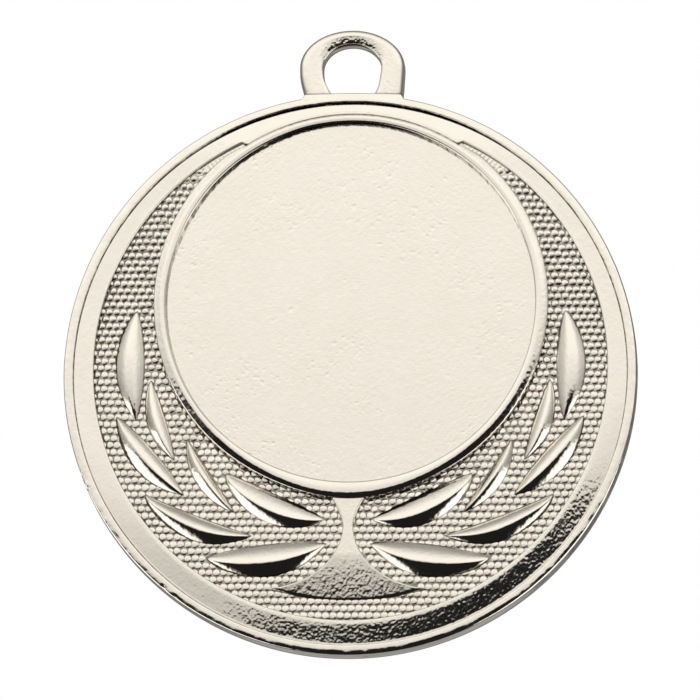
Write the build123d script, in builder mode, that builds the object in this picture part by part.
"""A 40 mm sports medal: a struck disc with a ribbon loop, a seat for a 25 mm emblem and a laurel relief.

Frame, in millimetres: the medal hangs upright. X runs to the right, +Z up towards the ribbon loop,
and -Y out of the decorated face. The flat back lies on Y = 0, and the origin is the disc's centre on it.
Heights named *_TOP are measured from the back, towards the decorated face.
"""

import os
from math import hypot

from build123d import *

# Driving dimensions
DISC_R = 20.0
THICKNESS = 2.0
PLATE_R = 19.35
RIM_CREST_R = 19.68
RIM_SHOULDER_TOP = 1.40
BACK_EDGE_ROUND = 0.15

FIELD_TOP = 1.15
BEADS_TOP = 1.25
FIELD_R = 17.9
FIELD_CENTRE_Z = 0.4

BAND_TOP = 1.70
BAND_EDGE_TOP = 1.55

EMBLEM_CENTRE_Z = 5.08
SEAT_R = 12.875
SEAT_TOP = 1.30
RING_R = 13.85
RING_TOP = 1.95
RING_CREST_R = 13.25
RING_WALL_TOP = 1.80
RING_EDGE_TOP = 1.40

LEAF_TOP = 1.85
CREST_INSET = 0.9
CREST_HALF_WIDTH = 0.09

STEM_TOP = 1.65
STEM_BEVEL = 0.2
STEM_NECK_X = 0.39
STEM_NECK_Z = -10.9
STEM_FLARE_X = 1.15
FOOT_TIP_X = 6.05
FOOT_TIP_Z = -15.25
FOOT_BOTTOM_Z = -16.3

LOOP_TOP = 1.60
LOOP_EDGE_ROUND = 0.3
LOOP_WIDE_Z = 22.1
LOOP_HALF_WIDTH = 3.70
LOOP_CROWN = 2.70
LOOP_FOOT_X = 3.32
LOOP_FOOT_Z = 18.5
EYE_HALF_WIDTH = 2.05
EYE_CROWN = 1.62
EYE_DROP = 2.75

# Laurel leaves of the right-hand branch, from the top: the upper tip, the lower tip, how far the outer and
# the inner edge bow out from the line between the tips, and where the crest runs between those two edges
# (0 at the inner edge, 1 at the outer edge). The left-hand branch mirrors them.
LEAVES = [
    ((14.88, 4.86), (14.83, -3.62), 1.55, -0.48, 0.48),
    ((13.85, -0.29), (11.97, -6.43), 1.20, -0.12, 0.35),
    ((16.33, -2.85), (11.24, -8.79), 1.45, -0.36, 0.55),
    ((11.37, -4.43), (7.86, -9.83), 1.18, 0.02, 0.32),
    ((14.16, -8.42), (6.24, -11.53), 1.95, 0.22, 0.58),
    ((8.55, -6.92), (1.43, -10.28), 2.05, -0.08, 0.70),
    ((9.90, -12.98), (1.25, -11.93), 1.93, -0.42, 0.66),
]


def face_plane(height):
    """The plane parallel to the back at that height, whose sketches have x to the right and y up."""
    return Plane.XZ.offset(height)


def bow_point(start, end, along, bow):
    """A point that lies along the line from start to end, and bow to its left."""
    dx = end[0] - start[0]
    dz = end[1] - start[1]
    length = hypot(dx, dz)
    return (
        start[0] + along * dx - bow * dz / length,
        start[1] + along * dz + bow * dx / length,
    )


def leaf_outline(height, start, end, outer_bow, inner_bow):
    """The face between two arcs from tip to tip, at that height."""
    with BuildSketch(face_plane(height)) as outline:
        with BuildLine():
            ThreePointArc(start, bow_point(start, end, 0.5, outer_bow), end)
            ThreePointArc(end, bow_point(start, end, 0.5, inner_bow), start)
        make_face()
    return outline.sketch


os.makedirs("parts", exist_ok=True)

# Base plate: the blank's plain disc, from the back up to the floor of the relief
with BuildPart() as base_plate:
    with BuildSketch(face_plane(0)):
        Circle(PLATE_R)
    extrude(amount=FIELD_TOP)

# Outer rim: the raised bead round the disc, with its side wall and a slightly rounded back edge
with BuildPart() as outer_rim:
    with BuildSketch(Plane.XY):
        with BuildLine():
            Line((PLATE_R, 0), (PLATE_R, -BAND_EDGE_TOP))
            EllipticalCenterArc(
                (RIM_CREST_R, -BAND_EDGE_TOP),
                RIM_CREST_R - PLATE_R,
                THICKNESS - BAND_EDGE_TOP,
                180,
                arc_size=90,
            )
            EllipticalCenterArc(
                (RIM_CREST_R, -RIM_SHOULDER_TOP),
                DISC_R - RIM_CREST_R,
                THICKNESS - RIM_SHOULDER_TOP,
                270,
                arc_size=90,
            )
            Line((DISC_R, -RIM_SHOULDER_TOP), (DISC_R, -BACK_EDGE_ROUND))
            Line((DISC_R, -BACK_EDGE_ROUND), (DISC_R - BACK_EDGE_ROUND, 0))
            Line((DISC_R - BACK_EDGE_ROUND, 0), (PLATE_R, 0))
        make_face()
    revolve(axis=Axis.Y)

# Border band: the broad, slightly domed border between the rim's groove and the sunken field
with BuildPart() as border_band:
    with BuildSketch(Plane.XY):
        inner_r = FIELD_R - 2 * FIELD_CENTRE_Z
        with BuildLine():
            Line((inner_r, -FIELD_TOP), (inner_r, -BAND_TOP))
            ThreePointArc(
                (inner_r, -BAND_TOP),
                ((inner_r + PLATE_R) / 2, -BAND_TOP - 0.02),
                (PLATE_R, -BAND_EDGE_TOP),
            )
            Line((PLATE_R, -BAND_EDGE_TOP), (PLATE_R, -FIELD_TOP))
            Line((PLATE_R, -FIELD_TOP), (inner_r, -FIELD_TOP))
        make_face()
    revolve(axis=Axis.Y)
    with BuildSketch(face_plane(FIELD_TOP)):
        with Locations((0, FIELD_CENTRE_Z)):
            Circle(FIELD_R)
        with Locations((0, EMBLEM_CENTRE_Z)):
            Circle(RING_R)
    extrude(amount=THICKNESS, mode=Mode.SUBTRACT)

# Emblem seat: the raised flat floor that the emblem is glued to, and that the ring stands on
with BuildPart() as emblem_seat:
    with BuildSketch(face_plane(FIELD_TOP)):
        with Locations((0, EMBLEM_CENTRE_Z)):
            Circle(RING_R)
    extrude(amount=SEAT_TOP - FIELD_TOP)

# Emblem ring: the rounded collar round the seat, upright inside and sloping outside
with BuildPart() as emblem_ring:
    with BuildSketch(Plane.XY.offset(EMBLEM_CENTRE_Z)):
        with BuildLine():
            Line((SEAT_R, -SEAT_TOP), (SEAT_R, -RING_WALL_TOP))
            ThreePointArc(
                (SEAT_R, -RING_WALL_TOP),
                (RING_CREST_R, -RING_TOP),
                (RING_R, -RING_EDGE_TOP),
            )
            Line((RING_R, -RING_EDGE_TOP), (RING_R, -SEAT_TOP))
            Line((RING_R, -SEAT_TOP), (SEAT_R, -SEAT_TOP))
        make_face()
    revolve(axis=Axis((0, 0, EMBLEM_CENTRE_Z), (0, 1, 0)))

# Beaded field: the crescent-shaped sunken ground under the laurel, at the mean height of its beads
with BuildPart() as beaded_field:
    with BuildSketch(face_plane(FIELD_TOP)):
        with Locations((0, FIELD_CENTRE_Z)):
            Circle(FIELD_R)
        with Locations((0, EMBLEM_CENTRE_Z)):
            Circle(RING_R, mode=Mode.SUBTRACT)
    extrude(amount=BEADS_TOP - FIELD_TOP)

# Stem: the pedestal under the ring, with a narrow neck and a crescent foot
with BuildPart() as laurel_stem:
    with BuildSketch(face_plane(BEADS_TOP)):
        with BuildLine():
            foot_rx = FOOT_TIP_X - STEM_NECK_X
            foot_ry = STEM_NECK_Z - FOOT_TIP_Z
            flare_z = EMBLEM_CENTRE_Z - RING_R + 0.6
            ThreePointArc((-FOOT_TIP_X, FOOT_TIP_Z), (0, FOOT_BOTTOM_Z), (FOOT_TIP_X, FOOT_TIP_Z))
            EllipticalCenterArc((FOOT_TIP_X, STEM_NECK_Z), foot_rx, foot_ry, 180, arc_size=90)
            EllipticalCenterArc((-FOOT_TIP_X, STEM_NECK_Z), foot_rx, foot_ry, 270, arc_size=90)
            Line((STEM_NECK_X, STEM_NECK_Z), (STEM_FLARE_X, flare_z))
            Line((-STEM_NECK_X, STEM_NECK_Z), (-STEM_FLARE_X, flare_z))
            Line((-STEM_FLARE_X, flare_z), (STEM_FLARE_X, flare_z))
        make_face()
        with Locations((0, EMBLEM_CENTRE_Z)):
            Circle(RING_R, mode=Mode.SUBTRACT)
    extrude(amount=STEM_TOP - BEADS_TOP)
    foot_edge = laurel_stem.faces().sort_by(Axis.Y)[0].edges().sort_by(Axis.Z)[0]
    chamfer(foot_edge, length=STEM_BEVEL)

# Ribbon loop: a horseshoe whose two feet stand on the rim's side wall
with BuildPart() as ribbon_loop:
    with BuildSketch(face_plane(0)):
        with BuildLine():
            EllipticalCenterArc((0, LOOP_WIDE_Z), LOOP_HALF_WIDTH, LOOP_CROWN, 0, arc_size=180)
            Line((-LOOP_HALF_WIDTH, LOOP_WIDE_Z), (-LOOP_FOOT_X, LOOP_FOOT_Z))
            Line((-LOOP_FOOT_X, LOOP_FOOT_Z), (LOOP_FOOT_X, LOOP_FOOT_Z))
            Line((LOOP_FOOT_X, LOOP_FOOT_Z), (LOOP_HALF_WIDTH, LOOP_WIDE_Z))
        make_face()
        with BuildLine():
            EllipticalCenterArc((0, LOOP_WIDE_Z), EYE_HALF_WIDTH, EYE_CROWN, 0, arc_size=180)
            EllipticalCenterArc((0, LOOP_WIDE_Z), EYE_HALF_WIDTH, EYE_DROP, 180, arc_size=180)
        make_face(mode=Mode.SUBTRACT)
    extrude(amount=LOOP_TOP)
    fillet(ribbon_loop.faces().sort_by(Axis.Y)[0].edges(), radius=LOOP_EDGE_ROUND)
    with BuildSketch(face_plane(0)):
        Circle(DISC_R)
    extrude(amount=THICKNESS, mode=Mode.SUBTRACT)

pieces = {
    "base_plate": base_plate,
    "outer_rim": outer_rim,
    "border_band": border_band,
    "emblem_seat": emblem_seat,
    "emblem_ring": emblem_ring,
    "beaded_field": beaded_field,
    "laurel_stem": laurel_stem,
    "ribbon_loop": ribbon_loop,
}

# Laurel leaves: each rises from its outline to a narrow crest, steeper on its outer side
for number, (upper_tip, lower_tip, outer_bow, inner_bow, crest_at) in enumerate(LEAVES, start=1):
    crest_bow = inner_bow + crest_at * (outer_bow - inner_bow)
    inset = CREST_INSET / hypot(lower_tip[0] - upper_tip[0], lower_tip[1] - upper_tip[1])
    end_bow = 4 * inset * (1 - inset) * crest_bow
    mid_bow = crest_bow - end_bow
    crest_start = bow_point(upper_tip, lower_tip, inset, end_bow)
    crest_end = bow_point(upper_tip, lower_tip, 1 - inset, end_bow)
    foot = leaf_outline(BEADS_TOP, upper_tip, lower_tip, outer_bow, inner_bow)
    crest = leaf_outline(
        LEAF_TOP, crest_start, crest_end, mid_bow + CREST_HALF_WIDTH, mid_bow - CREST_HALF_WIDTH
    )
    with BuildPart() as leaf:
        loft([foot, crest], ruled=True)
    with BuildPart() as mirrored_leaf:
        mirror(leaf.part, about=Plane.YZ)
    pieces[f"laurel_leaf_right_{number}"] = leaf
    pieces[f"laurel_leaf_left_{number}"] = mirrored_leaf

for name, piece in pieces.items():
    piece.part.label = name
    export_step(piece.part, f"parts/{name}.step")
